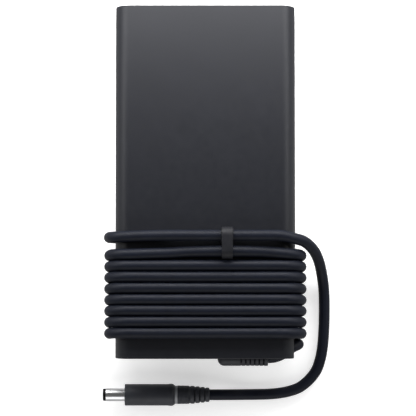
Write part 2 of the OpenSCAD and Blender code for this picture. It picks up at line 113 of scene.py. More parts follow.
# Plug, which lies along X
PLUG_Y = -122.5
PLUG_Z = 6.4
GRIP_X0 = -46.5
GRIP_X1 = -21.6
GRIP_R = 6.2
GRIP_ROOM_R = 4.3
GRIP_ROOM_L = 7
FLANGE_R = 6.4
FLANGE_X1 = -17.7
RING_R = 5.3
RING_X1 = -16.0
BOOT_R = 5.4
BOOT_BORE_R = 2.1
BOOT_X1 = 2.4
BARREL_R = 3.7
BARREL_BORE_R = 3.0
BARREL_X0 = -57.4
TIP_X0 = -59.1
TIP_BORE_R = 2.5
SEAT_R = BARREL_R - 0.2
SEAT_X1 = -34.5
CONTACT_R = 2.75
CONTACT_BORE_R = 2.5
PIN_R = 0.3

# The boot's four ribs, as (start, end, top radius), and the middles of the slots between them
BOOT_RIBS = [(-8.9, -6.0, 5.2), (-6.0, -3.1, 4.86), (-3.1, -0.24, 4.54), (-0.24, BOOT_X1, 4.17)]
BOOT_SLOTS = [-6.15, -3.25, -0.35]

# Blank plate in place of a label
LABEL_Y = 22.0
LABEL_W = 82.0
LABEL_L = 92.0
LABEL_T = 0.2
LABEL_CORNER = 3

# Mains inlet: the recess, the block round it, the hole in the shell, and the blades
INLET_W = 24.6
INLET_H = 16.4
INLET_DEPTH = 17.0
INLET_CUT = 5
INLET_BLOCK_W = 28.4
INLET_BLOCK_H = 20.4
INLET_BLOCK_L = 21.4
INLET_HOLE_X = 14.3
INLET_HOLE_Z = 10.3
INLET_HOLE_Y = 75
BLADE_W = 2
BLADE_H = 4
BLADE_TAIL = 23

# The inlet's blades, as (name, x, z, y of the tip)
BLADES = [("line", -7, -2, 97), ("neutral", 7, -2, 97), ("earth", 0, 2, 98)]

# ---- The brick's own frame ----


def record_mount(name):
    return next(m for m in frame["record"]["mounts"] if m["name"] == name)


def brick_matrix():
    """The brick's own frame as it lies, worked out from the inlet, which is in the middle of its end."""
    inlet = record_mount("ac_inlet")
    along = Vector(inlet["axis"]).normalized()
    sideways = Vector((1, 0, 0))
    outward = sideways.cross(along)
    placed = Matrix((sideways, along, outward)).transposed().to_4x4()
    placed.translation = Vector(inlet["pos_m"]) - along * BODY_L / 2 * MM
    return placed


LEAN = brick_matrix()
FLAT = Matrix.Identity(4)


def on_brick(x, y, z):
    """A point of the brick's own frame, given in millimetres, as a point of the world in metres."""
    return LEAN @ Vector((x * MM, y * MM, z * MM))


# ---- Camera ----


def add_camera():
    """Almost straight above, as far away as the photograph's perspective says."""
    data = bpy.data.cameras.new("camera")
    data.lens = 166.2
    data.sensor_width = 36
    data.clip_end = 20
    camera = bpy.data.objects.new("camera", data)
    camera.location = (0.0015, -0.0021, 1.114)
    camera.rotation_euler = (math.radians(-0.65), 0, 0)
    bpy.context.scene.collection.objects.link(camera)
    bpy.context.scene.camera = camera


add_camera()

# ---- The cord's route ----

# From the strain relief to the winding, in the brick's own frame
LEAD_ROUTE = [
    (35.5, -99.7, 2.5), (39.5, -99.3, 2.5), (43.4, -97.8, 2.3), (46.8, -95.6, 1.3),
    (50, -93.6, -0.9), (52.6, -92.6, -4.4), (53.2, -92.3, -8.6), (51.4, -92.1, -12.6),
    (47.5, -92, -15.2), (42, -91.9, -15.85), (36, -91.6, -15.85),
]

# The first turn, in the brick's own frame, from the winding to the right side
TURN_ROUTE = [
    (54.35, -41.85, 0), (54.35, -41.8, -3.4), (50.7, -41.5, -12.2), (41.8, -41, -15.85),
    (28, -39.3, -15.85), (14, -37.8, -15.85), (0, -36.5, -15.85), (-14, -35.1, -15.85),
    (-28, -33.7, -15.85), (-41.8, -32.1, -15.85), (-50.7, -31.5, -12.2), (-54.35, -31.4, -3.4),
    (-54.35, -31.4, 3.4), (-50.7, -31.3, 12.2), (-41.8, -31, 15.9), (-30, -30.6, 16.3),
    (-20, -30.5, 17.5), (-12, -30.5, 17.9), (-6, -30.5, 17.9), (6, -30.5, 17.9),
    (18, -30.5, 17.9), (30, -30.5, 17.9), (36, -30.5, 17.9), (43, -30.7, 17),
]

# The free cord, in the world, from the brick's right side to the plug
RUN_ROUTE = [
    (50.6, -31.6, 33.2), (55.3, -33.1, 30.2), (59.2, -35.9, 25.5), (62.7, -40.2, 19.3),
    (65.3, -45.9, 12.8), (67, -52.5, 7.8), (68.2, -59.6, 4.7), (68.7, -66.6, 3.4),
    (68.8, -73.7, 3.15), (68.7, -80.6, 3.15), (68.4, -87.7, 3.15), (67.8, -94.7, 3.15),
    (66.6, -101.7, 3.15), (64.3, -108.4, 3.15), (60.4, -113.7, 3.15), (54.9, -118.3, 3.15),
    (49.1, -120.6, 3.15), (43.3, -121.8, 3.15), (37.5, -122.4, 3.15), (31.7, -122.6, 3.15),
    (22, -122.7, 3.6), (15.5, -122.6, 5.1), (9, -122.5, 6.4), (2.4, -122.5, 6.4),
]

# Under the brick, from the lead to the first closed turn, as (x, y) in the brick's own frame
UNDER_ROUTE = [(22, -90.8), (8, -89.8), (-6, -88.6), (-20, -87.4), (-32, -86.6)]

# How far the last closed strand bows towards the first turn, as (x, bow)
BOW = [
    (-42, 0), (-25, 0.5), (-10, 1.35), (2, 1.65), (TIE_X, 1.75),
    (22, 1.7), (31, 1.45), (37, 1.1), (42, 0.65), (48, 0.2), (54.4, 0),
]

# How far the tie lifts that strand off the face, over what length, and from what height up
TIE_LIFT = 1.4
TIE_LIFT_REACH = 13.0
TIE_LIFT_Z = 14

# How far each closed strand wavers on the face, and the waver's phase along x and from turn to turn
WAVER = 0.05
WAVER_ALONG = 0.06
WAVER_BETWEEN = 2.3

# A closed turn slants over to the next one between -SLANT_X and SLANT_X, underneath
SLANT_X = 45
FACE_STOPS = (-30, -20, -10, 2, TIE_X, 22, 32)
UNDER_STOPS = (28, 14, 0, -14, -28)


def ease(t):
    t = min(max(t, 0.0), 1.0)
    return t * t * (3 - 2 * t)


def bow_at(x):
    for (x0, b0), (x1, b1) in zip(BOW, BOW[1:]):
        if x0 <= x <= x1:
            return b0 + (b1 - b0) * ease((x - x0) / (x1 - x0))
    return 0.0


def corner(side, face, start):
    """One corner of the frame that a turn follows, as points (x, z), clockwise from the start angle."""
    cx = side * (SIDE_X - TURN_R)
    cz = face * (TOP_Z - TURN_R)
    angles = [math.radians(start - 22.5 * k) for k in range(5)]
    return [(cx + TURN_R * math.cos(a), cz + TURN_R * math.sin(a)) for a in angles]


def turn_points(number):
    """One closed turn: up the left side, straight across the face, and slanting back underneath.

    The last one ends at the right side, where the first turn of the cord takes over.
    """
    pitch = (LAST_TURN_Y - FIRST_TURN_Y) / (CLOSED_TURNS - 1)
    y = FIRST_TURN_Y + number * pitch
    last = number == CLOSED_TURNS - 1
    points = []
    for x, z in corner(-1, 1, 180) + [(x, TOP_Z) for x in FACE_STOPS] + corner(1, 1, 90):
        bend = bow_at(x) if last else WAVER * math.sin(WAVER_ALONG * x + WAVER_BETWEEN * number)
        shift = FACE_SHIFT * ease(z / TOP_Z) + bend
        held = last and z > TIE_LIFT_Z
        lift = TIE_LIFT * math.exp(-(((x - TIE_X) / TIE_LIFT_REACH) ** 2)) if held else 0
        points.append((x, y + shift, z + lift))
    if last:
        return points
    for x, z in corner(1, -1, 0) + [(x, -TOP_Z) for x in UNDER_STOPS] + corner(-1, -1, 270):
        points.append((x, y + pitch * ease((SLANT_X - x) / (2 * SLANT_X)), z))
    return points


def between(a, b, c, d, t):
    """A point of the smooth curve from b to c, with a and d as its neighbours."""
    return 0.5 * (
        2 * b + (c - a) * t + (2 * a - 5 * b + 4 * c - d) * t * t + (3 * b - a - 3 * c + d) * t**3
    )


def smooth(points, steps):
    """The points with the curve through them added, in that many steps from each to the next."""
    found = []
    last = len(points) - 1
    for i in range(last):
        a, b = points[max(i - 1, 0)], points[i]
        c, d = points[i + 1], points[min(i + 2, last)]
        found += [between(a, b, c, d, k / steps) for k in range(steps)]
    return found + [points[last]]


def cord_points():
    """The cord's whole centre line, in the world, from the strain relief to the plug."""
    route = [on_brick(*p) for p in LEAD_ROUTE]
    route += [on_brick(x, y, -TOP_Z) for x, y in UNDER_ROUTE]
    route += [on_brick(x, FIRST_TURN_Y, z) for x, z in corner(-1, -1, 270)]
    for number in range(CLOSED_TURNS):
        route += [on_brick(*p) for p in turn_points(number)]
    route += [on_brick(*p) for p in TURN_ROUTE]
    route += [Vector(p) * MM for p in RUN_ROUTE]
    return smooth(route, 4)


# ---- Mesh tools ----


def link(name, mesh):
    piece = bpy.data.objects.new(name, mesh)
    bpy.context.scene.collection.objects.link(piece)
    return piece


def mesh_piece(name, verts, faces, place=FLAT):
    """A piece from points in millimetres, put in place."""
    mesh = bpy.data.meshes.new(name)
    mesh.from_pydata([place @ (Vector(v) * MM) for v in verts], [], faces)
    tidy = bmesh.new()
    tidy.from_mesh(mesh)
    bmesh.ops.recalc_face_normals(tidy, faces=tidy.faces)
    tidy.to_mesh(mesh)
    tidy.free()
    return link(name, mesh)


def apply_modifiers(piece):
    bpy.context.view_layer.update()
    graph = bpy.context.evaluated_depsgraph_get()
    mesh = bpy.data.meshes.new_from_object(piece.evaluated_get(graph))
    piece.modifiers.clear()
    old = piece.data
    piece.data = mesh
    bpy.data.meshes.remove(old)
    return piece


def combine(piece, other, operation):
    """Cuts other out of piece, or keeps what they share, and removes other."""
    modifier = piece.modifiers.new("combine", "BOOLEAN")
    modifier.object = other
    modifier.operation = operation
    modifier.solver = "EXACT"
    apply_modifiers(piece)
    bpy.data.objects.remove(other)
    return piece


def bevel(piece, width, segments=2, angle=32):
    modifier = piece.modifiers.new("bevel", "BEVEL")
    modifier.width = width * MM
    modifier.segments = segments
    modifier.limit_method = "ANGLE"
    modifier.angle_limit = math.radians(angle)
    modifier.use_clamp_overlap = True
    return apply_modifiers(piece)


def soften(piece, angle=35):
    """Smooth shading, except over edges sharper than the angle."""
    piece.data.shade_smooth()
    piece.data.set_sharp_from_angle(angle=math.radians(angle))
    return piece


def loft(name, rings, place=FLAT, closed=False):
    """A closed solid through rings of points; closed joins the last ring to the first."""
    size = len(rings[0])
    verts = [v for ring in rings for v in ring]
    faces = []
    spans = len(rings) if closed else len(rings) - 1
    for i in range(spans):
        a = i * size
        b = (i + 1) % len(rings) * size
        faces += [(a + k, a + (k + 1) % size, b + (k + 1) % size, b + k) for k in range(size)]
    if not closed:
        faces.append(tuple(range(size)))
        faces.append(tuple(range(len(verts) - size, len(verts))))
    return mesh_piece(name, verts, faces, place)


def box_piece(name, low, high, place=FLAT):
    """A box between two opposite corners."""
    (x0, y0, z0), (x1, y1, z1) = low, high
    ring = [(x0, z0), (x1, z0), (x1, z1), (x0, z1)]
    return loft(name, [[(x, y, z) for x, z in ring] for y in (y0, y1)], place)


def lathe_x(name, profile, y, z, place=FLAT, sides=64, closed=False):
    """A solid turned about a line along X: the profile is a list of (x, radius)."""
    rings = []
    for x, r in profile:
        turned = [2 * math.pi * k / sides for k in range(sides)]
        rings.append([(x, y + r * math.cos(a), z + r * math.sin(a)) for a in turned])
    return loft(name, rings, place, closed)


def lathe_y(name, profile, x, z, place=FLAT, sides=48):
    """A solid turned about a line along Y: the profile is a list of (y, radius)."""
    rings = []
    for y, r in profile:
        turned = [2 * math.pi * k / sides for k in range(sides)]
        rings.append([(x + r * math.cos(a), y, z + r * math.sin(a)) for a in turned])
    return loft(name, rings, place)


def rounded(corners, radius, steps=5):
    """A polygon's points with each corner replaced by an arc of that radius."""
    found = []
    count = len(corners)
    for i in range(count):
        here = Vector(corners[i])
        back = (Vector(corners[i - 1]) - here).normalized()
        on = (Vector(corners[(i + 1) % count]) - here).normalized()
        half = back.angle(on) / 2
        middle = here + (back + on).normalized() * radius / math.sin(half)
        first = here + back * radius / math.tan(half) - middle
        last = here + on * radius / math.tan(half) - middle
        turn = first.angle_signed(last)
        for k in range(steps + 1):
            a = -turn * k / steps
            found.append((middle.x + first.x * math.cos(a) - first.y * math.sin(a),
                          middle.y + first.x * math.sin(a) + first.y * math.cos(a)))
    return found


def rectangle(width, height):
    w, h = width / 2, height / 2
    return [(-w, -h), (w, -h), (w, h), (-w, h)]


def fillet(x, r, size, outward, steps=4):
    """Points (x, radius) of a rounded edge that ends at x, on a turned shape of radius r."""
    found = []
    for k in range(steps + 1):
        a = math.pi / 2 * k / steps
        found.append((x - outward * size * (1 - math.sin(a)), r - size * (1 - math.cos(a))))
    return found if outward > 0 else found[::-1]


# ---- Materials ----


def noise(nodes, links, coords, scale, detail=3.0):
    """A noise texture; scale is one number, or three for a texture that is drawn out along an axis."""
    mapping = nodes.new("ShaderNodeMapping")
    three = scale if hasattr(scale, "__len__") else (scale, scale, scale)
    mapping.inputs["Scale"].default_value = three
    links.new(coords, mapping.inputs["Vector"])
    texture = nodes.new("ShaderNodeTexNoise")
    texture.inputs["Scale"].default_value = 1.0
    texture.inputs["Detail"].default_value = detail
    texture.inputs["Roughness"].default_value = 0.55
    links.new(mapping.outputs["Vector"], texture.inputs["Vector"])
    return texture.outputs["Fac"]


def remap(nodes, links, value, low, high):
    """Spreads a noise, which mostly lies from 0.3 to 0.7, from low to high."""
    spread = nodes.new("ShaderNodeMapRange")
    spread.inputs["From Min"].default_value = 0.3
    spread.inputs["From Max"].default_value = 0.7
    spread.inputs["To Min"].default_value = low
    spread.inputs["To Max"].default_value = high
    links.new(value, spread.inputs["Value"])
    return spread.outputs["Result"]


def surface(name, colour, rough, metal=0.0, specular=0.5, coat=0.0,
            mottle=0.12, mottle_scale=90, rough_spread=0.05, rough_scale=300,
            grain=0.15, grain_scale=2600, grain_depth=0.00004, edge_wear=0.0):
    """A material with colour mottling, uneven gloss and a fine relief, all from noise, and optionally a
    painted highlight on convex edges.
    """
    material = bpy.data.materials.new(name)
    material.use_nodes = True
    nodes, links = material.node_tree.nodes, material.node_tree.links
    shader = nodes["Principled BSDF"]
    shader.inputs["Metallic"].default_value = metal
    shader.inputs["Specular IOR Level"].default_value = specular
    shader.inputs["Coat Weight"].default_value = coat
    shader.inputs["Coat Roughness"].default_value = 0.2
    coords = nodes.new("ShaderNodeTexCoord").outputs["Object"]

    tint = nodes.new("ShaderNodeMix")
    tint.data_type = "RGBA"
    tint.inputs["A"].default_value = (*[c * (1 - mottle) for c in colour], 1)
    tint.inputs["B"].default_value = (*[min(c * (1 + mottle), 1) for c in colour], 1)
    links.new(remap(nodes, links, noise(nodes, links, coords, mottle_scale), 0, 1), tint.inputs["Factor"])
    colour_out = tint.outputs["Result"]
    # Painted highlight: convex edges, found by Pointiness, get a lighter colour that stands in for light
    # catching them
    if edge_wear > 0:
        geometry = nodes.new("ShaderNodeNewGeometry")
        edge_highlight_factor = nodes.new("ShaderNodeMapRange")
        edge_highlight_factor.inputs["From Min"].default_value = 0.52
        edge_highlight_factor.inputs["From Max"].default_value = 0.62
        edge_highlight_factor.inputs["To Max"].default_value = edge_wear
        links.new(geometry.outputs["Pointiness"], edge_highlight_factor.inputs["Value"])
        wear = nodes.new("ShaderNodeMix")
        wear.data_type = "RGBA"
        wear.inputs["B"].default_value = (*[min(c * 2.2 + 0.01, 1) for c in colour], 1)
        links.new(edge_highlight_factor.outputs["Result"], wear.inputs["Factor"])
        links.new(colour_out, wear.inputs["A"])
        colour_out = wear.outputs["Result"]
    links.new(colour_out, shader.inputs["Base Color"])

    uneven = noise(nodes, links, coords, rough_scale, 2.0)
    low, high = max(rough - rough_spread, 0.03), min(rough + rough_spread, 1)
    links.new(remap(nodes, links, uneven, low, high), shader.inputs["Roughness"])

    bump = nodes.new("ShaderNodeBump")
    bump.inputs["Strength"].default_value = grain
    bump.inputs["Distance"].default_value = grain_depth
    links.new(noise(nodes, links, coords, grain_scale, 2.0), bump.inputs["Height"])
    links.new(bump.outputs["Normal"], shader.inputs["Normal"])
    return material


MATERIALS = {}


def make_materials():
    def add(slot, *facts, **more):
        MATERIALS[slot] = surface(slot, *facts, **more)

    # The shell's lighter convex edges are a painted highlight
    add("shell_plastic", (0.0064, 0.007, 0.0098), 0.47, specular=0.25, mottle=0.06, mottle_scale=60,
        rough_spread=0.03, grain=0.35, grain_scale=2400, grain_depth=0.00003, edge_wear=0.25)
    add("blank_plate", (0.016, 0.016, 0.018), 0.5, mottle=0.08, grain=0.1)
    add("inlet_plastic", (0.012, 0.012, 0.0135), 0.42, grain=0.25)
    add("blade_metal", (0.66, 0.65, 0.62), 0.28, metal=1.0, grain=0.1, grain_scale=(4000, 400, 4000))
    add("wire_insulation", (0.3, 0.16, 0.09), 0.45)
    add("circuit_board", (0.02, 0.13, 0.045), 0.35, coat=0.3, mottle=0.25, mottle_scale=500)
    add("ceramic", (0.75, 0.72, 0.64), 0.25, coat=0.4, mottle=0.04)
    add("blue_coating", (0.03, 0.11, 0.38), 0.3, coat=0.3)
    add("dark_coating", (0.025, 0.035, 0.03), 0.45)
    add("yellow_case", (0.68, 0.42, 0.05), 0.35, mottle=0.06)
    add("choke_core", (0.03, 0.13, 0.05), 0.5)
    add("copper_wire", (0.6, 0.22, 0.08), 0.3, metal=0.8, mottle=0.3, mottle_scale=(900, 900, 3000))
    add("ferrite", (0.05, 0.05, 0.055), 0.55, mottle=0.2, mottle_scale=900)
    add("yellow_tape", (0.7, 0.38, 0.03), 0.3, coat=0.3, mottle=0.1)
    add("bobbin_plastic", (0.7, 0.6, 0.38), 0.45)
    add("black_epoxy", (0.012, 0.012, 0.014), 0.5, grain=0.3)
    add("aluminium", (0.6, 0.61, 0.62), 0.35, metal=1.0, mottle_scale=(2000, 80, 2000))
    add("capacitor_sleeve", (0.018, 0.026, 0.05), 0.3, coat=0.3)
    add("red_case", (0.42, 0.03, 0.022), 0.35)
    add("white_epoxy", (0.72, 0.72, 0.7), 0.45)
    add("pad", (0.5, 0.56, 0.62), 0.8)
    add("insulating_sheet", (0.78, 0.75, 0.66), 0.6, mottle=0.06, mottle_scale=800)
    add("relief_rubber", (0.0075, 0.0085, 0.013), 0.5, specular=0.3, grain=0.3)
    add("cord_jacket", (0.0027, 0.0039, 0.0088), 0.54, specular=0.16, mottle=0.12, mottle_scale=140,
        rough_spread=0.05, grain=0.3, grain_scale=2200, grain_depth=0.00003)
    add("tie_rubber", (0.006, 0.0063, 0.0085), 0.55, specular=0.2, grain=0.4, grain_scale=1800)
    add("grip_rubber", (0.0112, 0.0128, 0.0185), 0.58, specular=0.45, mottle=0.1, grain=0.3, grain_scale=2200)
    add("light_ring", (0.195, 0.2, 0.213), 0.5, coat=0.1, mottle=0.05)
    add("barrel_metal", (0.6, 0.6, 0.61), 0.3, metal=1.0, mottle=0.03, rough_spread=0.02,
        grain=0.02, grain_scale=(9000, 300, 300), grain_depth=0.00001)
    add("barrel_plastic", (0.0025, 0.0025, 0.003), 0.5, specular=0.08)
    add("contact_metal", (0.5, 0.42, 0.26), 0.25, metal=1.0)


make_materials()


def dress(piece, slot, body="root"):
    """Gives a piece its finish, and fixes it to a CAD body."""
    piece.data.materials.clear()
    piece.data.materials.append(MATERIALS[slot])
    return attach(piece, body)


# ---- Cord ----


def add_cord():
    """The whole cord as one curve: the lead, the closed turns, the first turn and the free run."""
    points = cord_points()
    data = bpy.data.curves.new("output_cord", "CURVE")
    data.dimensions = "3D"
    data.bevel_depth = CORD_R * MM
    data.bevel_resolution = 6
    data.use_fill_caps = True
    spline = data.splines.new("POLY")
    spline.points.add(len(points) - 1)
    for point, place in zip(spline.points, points):
        point.co = (*place, 1)
    spline.use_smooth = True
    piece = link("output_cord", data)
    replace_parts(piece, "cord_lead", "cord_winding", "cord_run")
    return dress(piece, "cord_jacket"), points


cord, cord_line = add_cord()

# ---- Brick ----


def outline(width, thick, side, steps=16):
    """The brick's outline across its length: flat faces, and sides that are half ellipses."""
    found = []
    for sign in (1, -1):
        for k in range(steps + 1):
            a = math.radians(-90 + 180 * k / steps)
            found.append((sign * (width / 2 - side + side * math.cos(a)), sign * thick / 2 * math.sin(a)))
    return found


def brick_block(name, inset, rounding):
    """A block of the brick's shape, smaller all round by inset, with its end edges rounded."""
    rings = []
    steps = 5 if rounding > 0 else 0
    stations = []
    for k in range(steps + 1):
        a = math.pi / 2 * k / max(steps, 1)
        stations.append((rounding * (1 - math.sin(a)), rounding * (1 - math.cos(a))) if steps else (0, 0))
    ends = [(BODY_L / 2 - inset - back, shrink) for shrink, back in stations]
    for y, shrink in [(-y, s) for y, s in ends] + ends[::-1]:
        off = inset + shrink
        ring = outline(BODY_W - 2 * off, BODY_T - 2 * off, SIDE_W - off * 0.5)
        rings.append([(x, y, z) for x, z in ring])
    return loft(name, rings, LEAN)


def label_block(name, inset, low, high):
    """The label's shape, a rounded rectangle in the lower face."""
    ring = rounded(rectangle(LABEL_W - 2 * inset, LABEL_L - 2 * inset), LABEL_CORNER - inset)
    return loft(name, [[(x, LABEL_Y + y, z) for x, y in ring] for z in (low, high)], LEAN)


def shell_half(name, face):
    """One half of the case, with the recess for the strain relief, the notch and the inlet's opening."""
    shell = brick_block(name, 0, END_FILLET)

    # The room inside, which leaves a wall round the recess and the notch
    room = brick_block("room", WALL, 0)
    r = RELIEF_D / 2 + 2.5
    keep_recess = lathe_x("keep_recess", [(RELIEF_X0 - 3, r), (RELIEF_X1 + 3, r)], RELIEF_Y, RELIEF_Z, LEAN)
    keep_notch = box_piece("keep_notch", (RELIEF_X1 - 4, -BODY_L, -BODY_T),
                           (BODY_W, NOTCH_Y + WALL, NOTCH_Z + WALL), LEAN)
    combine(room, keep_recess, "DIFFERENCE")
    combine(room, keep_notch, "DIFFERENCE")
    combine(shell, room, "DIFFERENCE")

    # The openings
    r = RELIEF_D / 2 + RECESS_GAP
    recess = lathe_x("recess", [(RELIEF_X0 - 0.5, r), (RELIEF_X1 + 1, r)], RELIEF_Y, RELIEF_Z, LEAN)
    stem = lathe_y("stem_hole", [(RELIEF_Y, STEM_HOLE_R), (STEM_HOLE_Y, STEM_HOLE_R)], STEM_X, RELIEF_Z, LEAN)
    notch = box_piece("notch", (RELIEF_X1 - 0.3, -BODY_L, -BODY_T), (BODY_W, NOTCH_Y, NOTCH_Z), LEAN)
    mouth = box_piece("mouth", (-INLET_HOLE_X, INLET_HOLE_Y, -INLET_HOLE_Z),
                      (INLET_HOLE_X, BODY_L, INLET_HOLE_Z), LEAN)
    pocket = label_block("pocket", 0, -BODY_T, -BODY_T / 2 + LABEL_T)
    for cutter in (recess, stem, notch, mouth, pocket):
        combine(shell, cutter, "DIFFERENCE")

    low, high = (SEAM / 2, BODY_T) if face > 0 else (-BODY_T, -SEAM / 2)
    half = box_piece("half", (-BODY_W, -BODY_L, low), (BODY_W, BODY_L, high), LEAN)
    combine(shell, half, "INTERSECT")
    bevel(shell, 0.22, 2, 40)
    return soften(shell, 30)


def add_shells():
    for name, face in (("case_top", 1), ("case_bottom", -1)):
        shell = shell_half(name, face)
        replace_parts(shell, "upper_shell" if face > 0 else "lower_shell")
        dress(shell, "shell_plastic")


add_shells()

# ---- Label plate and inlet ----


def add_label_plate():
    plate = label_block("label_plate", 0.1, -BODY_T / 2, -BODY_T / 2 + LABEL_T)
    bevel(plate, 0.06, 2, 60)
    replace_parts(soften(plate), "rating_plate")
    dress(plate, "blank_plate")


def inlet_outline(grow):
    """The recess across its depth, with its two upper corners cut off."""
    w, h = INLET_W / 2 + grow, INLET_H / 2 + grow
    side, top = h - INLET_CUT, w - INLET_CUT
    return [(-w, -h), (w, -h), (w, side), (top, h), (-top, h), (-w, side)]


def add_inlet():
    """The inlet's block with its recess, and the three blades in it, with tapered tips."""
    end = BODY_L / 2
    w, h = INLET_BLOCK_W / 2, INLET_BLOCK_H / 2
    housing = box_piece("inlet_block", (-w, end - INLET_BLOCK_L, -h), (w, end, h), LEAN)
    ring = rounded(inlet_outline(0), 1.2)
    mouth = rounded(inlet_outline(0.6), 1.5)
    stations = ((end - INLET_DEPTH, ring), (end - 0.6, ring), (end + 0.01, mouth), (end + 1, mouth))
    recess = loft("inlet_room", [[(x, y, z) for x, z in edge] for y, edge in stations], LEAN)
    combine(housing, recess, "DIFFERENCE")
    tail = end - BLADE_TAIL
    for name, x, z, reach in BLADES:
        w, h = BLADE_W / 2, BLADE_H / 2
        slot = box_piece("slot", (x - w, tail, z - h), (x + w, reach, z + h), LEAN)
        combine(housing, slot, "DIFFERENCE")
        rings = []
        for y, taper in ((tail, 0), (reach - 1.4, 0), (reach - 0.2, 0.45), (reach, 0.6)):
            ring = rounded(rectangle(BLADE_W - 2 * taper * 0.8, BLADE_H - 2 * taper), 0.15, 2)
            rings.append([(x + dx, y, z + dz) for dx, dz in ring])
        blade = soften(loft("blade_" + name, rings, LEAN), 20)
        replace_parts(blade, "inlet_pin_" + name)
        dress(blade, "blade_metal")
    bevel(housing, 0.15, 2, 40)
    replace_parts(soften(housing, 30), "inlet_housing")
    dress(housing, "inlet_plastic")


add_label_plate()
add_inlet()

# ---- Strain relief ----


def add_strain_relief():
    """A moulding along the brick's end: rounded at one end, with six slots before the cord comes out."""
    r = RELIEF_D / 2
    profile = []
    for k in range(9):
        a = math.pi / 2 * k / 8
        profile.append((RELIEF_X0 + RELIEF_ROUND * (1 - math.cos(a)),
                        RELIEF_NOSE_R + (r - RELIEF_NOSE_R) * math.sin(a)))
    slots = [RELIEF_SLOT_X + RELIEF_SLOT_PITCH * k for k in range(RELIEF_SLOTS)]
    for x in slots:
        profile += [(x - 0.4, r), (x - 0.2, r - 0.18), (x + 0.2, r - 0.18), (x + 0.4, r)]
    profile += fillet(RELIEF_X1, r, 0.4, 1)
    relief = lathe_x("strain_relief", profile, RELIEF_Y, RELIEF_Z, LEAN, 56)
    for k, x in enumerate(slots):
        for side in (-1, 1):
            low, high = sorted((RELIEF_Z + side * (3.4 - 0.3 * k), RELIEF_Z + side * 8))
            slot = box_piece("slot", (x - 0.45, RELIEF_Y - 3.9, low), (x + 0.45, RELIEF_Y + 4.2, high), LEAN)
            combine(relief, slot, "DIFFERENCE")
    neck = [(RELIEF_Y, STEM_R), (STEM_FLANGE_Y0, STEM_R)]
    flange = [(STEM_FLANGE_Y0, STEM_FLANGE_R), (STEM_FLANGE_Y1, STEM_FLANGE_R)]
    stem = lathe_y("stem", neck + flange, STEM_X, RELIEF_Z, LEAN)
    combine(relief, stem, "UNION")
    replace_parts(soften(relief, 30), "cord_strain_relief")
    return dress(relief, "relief_rubber")


# ---- Tie ----


def add_tie_ring():
    """The ring that slides on the first turn: a sleeve with a lip at each end."""
    x0, x1 = TIE_X - TIE_W / 2, TIE_X + TIE_W / 2
    profile = [
        (x0, TIE_BORE_R), (x0, TIE_LIP_R), (x0 + TIE_LIP_T, TIE_LIP_R), (x0 + TIE_LIP_T, TIE_RING_R),
        (x1 - TIE_LIP_T, TIE_RING_R), (x1 - TIE_LIP_T, TIE_LIP_R), (x1, TIE_LIP_R), (x1, TIE_BORE_R),
    ]
    ring = lathe_x("tie_inner_ring", profile, TIE_Y, TIE_Z, LEAN, 56, closed=True)
    bevel(ring, 0.07, 2, 60)
    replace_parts(soften(ring), "tie_ring")
    return dress(ring, "tie_rubber", "tie_ring")


def arc(y, z, r, start, stop, steps):
    """Points (y, z) of an arc; angles in degrees, from +y towards +z."""
    angles = [math.radians(start + (stop - start) * k / steps) for k in range(steps + 1)]
    return [(y + r * math.cos(a), z + r * math.sin(a)) for a in angles]


def add_tie_strap():
    """One moulding: a collar round the ring, a flat band, and a hook over the next strand."""
    inner = TIE_COLLAR_R - TIE_T
    meet = 180 - math.degrees(math.asin(inner / TIE_COLLAR_R))
    tip = 180 - math.degrees(math.asin((TIE_HOOK_Z - TIE_Z) / TIE_COLLAR_R))
    outline_yz = arc(TIE_Y, TIE_Z, TIE_COLLAR_R, meet - 360, 90, 30)
    outline_yz += arc(TIE_HOOK_Y, TIE_Z, TIE_COLLAR_R, 90, tip, 12)
    outline_yz += arc(TIE_HOOK_Y, TIE_Z, inner, tip - 5, 90, 12)
    x0, x1 = TIE_X - TIE_W / 2 + TIE_LIP_T + 0.05, TIE_X + TIE_W / 2 - TIE_LIP_T - 0.05
    strap = loft("tie_band", [[(x, y, z) for y, z in outline_yz] for x in (x0, x1)], LEAN)
    bore = lathe_x("bore", [(x0 - 1, TIE_RING_R + 0.05), (x1 + 1, TIE_RING_R + 0.05)], TIE_Y, TIE_Z, LEAN)
    combine(strap, bore, "DIFFERENCE")
    bevel(strap, 0.2, 3, 50)
    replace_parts(soften(strap, 30), "tie_strap")
    return dress(strap, "tie_rubber", "tie_strap")


# ---- Plug ----


def turned(name, profile, node, slot, closed=True, sides=64):
    """A piece turned about the plug's axis, from its profile as points (x, radius)."""
    piece = lathe_x(name, profile, PLUG_Y, PLUG_Z, FLAT, sides, closed)
    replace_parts(soften(piece, 28), node)
    return dress(piece, slot)


def add_grip():
    """The grip, with its flange, and room inside for what the cord's conductors end in."""
    outside = fillet(GRIP_X0, GRIP_R, 0.35, -1)
    outside += [(GRIP_X1 - 0.8, GRIP_R), (GRIP_X1, GRIP_R + 0.03), (GRIP_X1 + 0.7, GRIP_R + 0.12)]
    outside += [(GRIP_X1 + 1.3, FLANGE_R), (GRIP_X1 + 2.1, FLANGE_R), (GRIP_X1 + 2.6, FLANGE_R - 0.08)]
    outside += [(GRIP_X1 + 3.1, FLANGE_R - 0.28), (GRIP_X1 + 3.5, FLANGE_R - 0.58), (FLANGE_X1, 5.6)]
    inside = [(FLANGE_X1, SEAT_R), (GRIP_X1 - GRIP_ROOM_L, SEAT_R), (GRIP_X1 - GRIP_ROOM_L, GRIP_ROOM_R),
              (SEAT_X1, GRIP_ROOM_R), (SEAT_X1, SEAT_R), (GRIP_X0, SEAT_R)]
    return turned("plug_body", outside + inside, "plug_grip", "grip_rubber")


def add_light_ring():
    outside = fillet(FLANGE_X1, RING_R, 0.25, -1) + fillet(RING_X1, RING_R, 0.25, 1)
    inside = [(RING_X1, SEAT_R), (FLANGE_X1, SEAT_R)]
    return turned("status_ring", outside + inside, "plug_light_ring", "light_ring")


